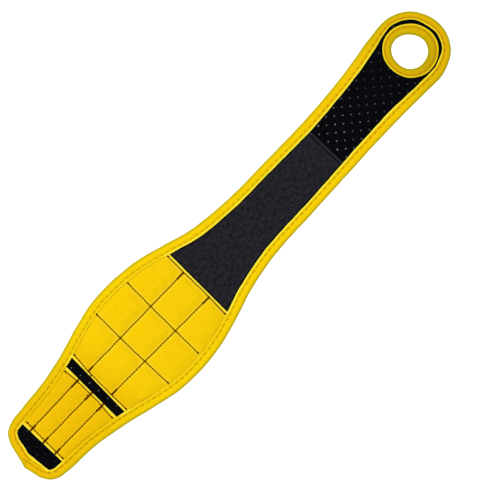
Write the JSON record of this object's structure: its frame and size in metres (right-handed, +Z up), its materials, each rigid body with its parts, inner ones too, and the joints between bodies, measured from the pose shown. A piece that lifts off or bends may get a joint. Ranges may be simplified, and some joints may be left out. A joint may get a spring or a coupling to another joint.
{
  "type": "magnetic wristband",
  "caption": "Padded tool wristband: quilted panels with magnets inside hold screws and bits, a thumb loop and a hook-and-loop strap fasten it round the wrist.",
  "frame": {"origin": "under the middle of the flat band's box, on the surface that it lies on", "axes": "+X along the band from the tail to the thumb loop, +Y across it, +Z up out of the outer face; the wrist side is down"},
  "size_m": [0.4498, 0.0944, 0.0063],
  "materials": {
    "binding": "matte woven tape",
    "cover": "matte coated oxford weave",
    "neoprene": "matte knit over foam, perforated",
    "loop_patch": "fuzzy loop pile",
    "hook_patch": "hook tape",
    "magnet": "nickel plated"
  },
  "bodies": {
    "tail_tab": {"tail_tab_base": "neoprene", "tail_tab_binding": "binding"},
    "tail": {"tail_base": "neoprene", "tail_binding_left": "binding", "tail_binding_right": "binding", "tail_cover": "cover", "tail_hook_patch": "hook_patch", "tail_bar_magnet_1": "magnet", "tail_bar_magnet_2": "magnet", "tail_bar_magnet_3": "magnet", "tail_bar_magnet_4": "magnet"},
    "magnet_row_1": {"row_1_base": "neoprene", "row_1_binding_left": "binding", "row_1_binding_right": "binding", "row_1_cover": "cover", "row_1_magnet_1": "magnet", "row_1_magnet_2": "magnet", "row_1_magnet_3": "magnet"},
    "magnet_row_2": {"row_2_base": "neoprene", "row_2_binding_left": "binding", "row_2_binding_right": "binding", "row_2_cover": "cover", "row_2_magnet_1": "magnet", "row_2_magnet_2": "magnet", "row_2_magnet_3": "magnet"},
    "magnet_row_3": {"row_3_base": "neoprene", "row_3_binding_left": "binding", "row_3_binding_right": "binding", "row_3_cover": "cover", "row_3_magnet_1": "magnet", "row_3_magnet_2": "magnet", "row_3_magnet_3": "magnet"},
    "strap_1": {"strap_1_base": "neoprene", "strap_1_binding_left": "binding", "strap_1_binding_right": "binding", "strap_1_loop_patch": "loop_patch"},
    "strap_2": {"strap_2_base": "neoprene", "strap_2_binding_left": "binding", "strap_2_binding_right": "binding", "strap_2_loop_patch": "loop_patch"},
    "strap_3": {"strap_3_base": "neoprene", "strap_3_binding_left": "binding", "strap_3_binding_right": "binding", "strap_3_loop_patch": "loop_patch"},
    "strap_4": {"strap_4_base": "neoprene", "strap_4_binding_left": "binding", "strap_4_binding_right": "binding", "strap_4_loop_patch": "loop_patch"},
    "strap_5": {"strap_5_base": "neoprene", "strap_5_binding_left": "binding", "strap_5_binding_right": "binding"},
    "strap_6": {"strap_6_base": "neoprene", "strap_6_binding_left": "binding", "strap_6_binding_right": "binding"},
    "strap_7": {"strap_7_base": "neoprene", "strap_7_binding_left": "binding", "strap_7_binding_right": "binding"},
    "thumb_loop": {"thumb_loop_base": "neoprene", "thumb_loop_binding": "binding", "thumb_hole_binding": "binding"}
  },
  "joints": [
    {"name": "tail_tab_bend", "type": "hinge", "parent": "tail", "child": "tail_tab", "pos_m": [-0.2018, 0, 0], "axis": [0, -1, 0], "range_deg": [-20, 50]},
    {"name": "tail_bend", "type": "hinge", "parent": "magnet_row_1", "child": "tail", "pos_m": [-0.1455, 0, 0], "axis": [0, -1, 0], "range_deg": [-20, 59]},
    {"name": "row_1_bend", "type": "hinge", "parent": "magnet_row_2", "child": "magnet_row_1", "pos_m": [-0.106, 0, 0], "axis": [0, -1, 0], "range_deg": [-20, 45]},
    {"name": "row_3_bend", "type": "hinge", "parent": "magnet_row_2", "child": "magnet_row_3", "pos_m": [-0.074, 0, 0], "axis": [0, 1, 0], "range_deg": [-20, 60]},
    {"name": "strap_1_bend", "type": "hinge", "parent": "magnet_row_3", "child": "strap_1", "pos_m": [-0.0345, 0, 0], "axis": [0, 1, 0], "range_deg": [-20, 48]},
    {"name": "strap_2_bend", "type": "hinge", "parent": "strap_1", "child": "strap_2", "pos_m": [-0.00038, 0, 0], "axis": [0, 1, 0], "range_deg": [-20, 58]},
    {"name": "strap_3_bend", "type": "hinge", "parent": "strap_2", "child": "strap_3", "pos_m": [0.03375, 0, 0], "axis": [0, 1, 0], "range_deg": [-20, 58]},
    {"name": "strap_4_bend", "type": "hinge", "parent": "strap_3", "child": "strap_4", "pos_m": [0.06788, 0, 0], "axis": [0, 1, 0], "range_deg": [-20, 58]},
    {"name": "strap_5_bend", "type": "hinge", "parent": "strap_4", "child": "strap_5", "pos_m": [0.102, 0, 0], "axis": [0, 1, 0], "range_deg": [-20, 48]},
    {"name": "strap_6_bend", "type": "hinge", "parent": "strap_5", "child": "strap_6", "pos_m": [0.126, 0, 0], "axis": [0, 1, 0], "range_deg": [-20, 52]},
    {"name": "strap_7_bend", "type": "hinge", "parent": "strap_6", "child": "strap_7", "pos_m": [0.15, 0, 0], "axis": [0, 1, 0], "range_deg": [-20, 52]},
    {"name": "thumb_loop_bend", "type": "hinge", "parent": "strap_7", "child": "thumb_loop", "pos_m": [0.174, 0, 0], "axis": [0, 1, 0], "range_deg": [-20, 110]}
  ]
}
